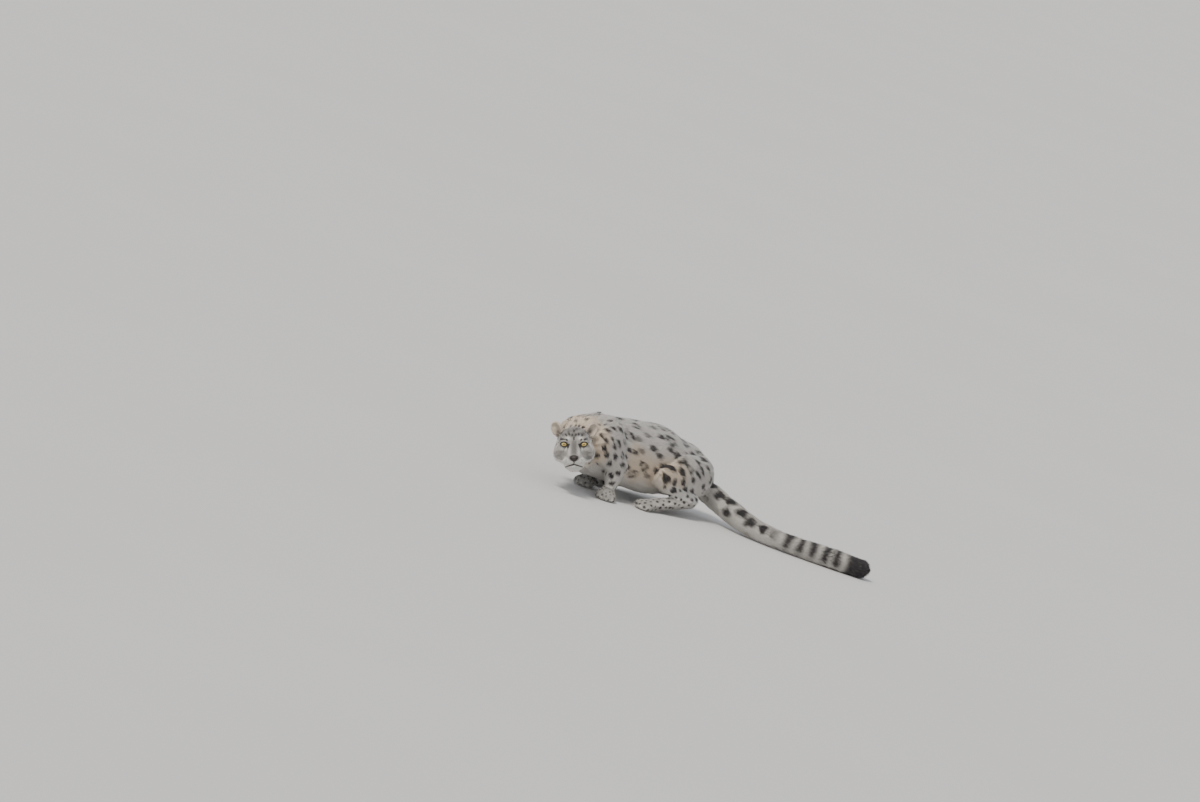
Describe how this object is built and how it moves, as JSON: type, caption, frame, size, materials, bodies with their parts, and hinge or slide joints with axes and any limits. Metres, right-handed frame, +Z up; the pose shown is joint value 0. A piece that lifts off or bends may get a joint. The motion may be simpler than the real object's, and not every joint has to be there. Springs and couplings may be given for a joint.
{
  "type": "snow leopard model",
  "caption": "Life-size still model of a crouching snow leopard, head turned to its left, long thick tail laid out on the ground behind it.",
  "frame": {"origin": "middle of the whole animal's box, on the ground it lies on", "axes": "+X along the animal from its head end to its tail end, +Y to the animal's right, +Z up"},
  "size_m": [1.3072, 0.859, 0.3227],
  "materials": {
    "coat": "long soft fur, pale grey-cream with charcoal rosettes",
    "pale_coat": "short off-white fur with small dark spots",
    "dark_coat": "thick charcoal-black fur",
    "eye": "wet, glossy, yellow-green iris with a round pupil",
    "nose_leather": "damp, fine-grained dark skin"
  },
  "bodies": {
    "root": {"ear_left": "pale_coat", "ear_right": "pale_coat", "eye_left": "eye", "eye_right": "eye", "forearm_left": "coat", "forearm_right": "coat", "forepaw_left": "pale_coat", "forepaw_right": "pale_coat", "head": "coat", "hindfoot_left": "pale_coat", "hindfoot_right": "pale_coat", "neck": "coat", "nose": "nose_leather", "shank_left": "coat", "shank_right": "coat", "shoulder_left": "coat", "shoulder_right": "coat", "tail_lower": "coat", "tail_middle": "coat", "tail_root": "coat", "tail_tip": "dark_coat", "thigh_left": "coat", "thigh_right": "coat", "torso": "coat"}
  },
  "joints": []
}
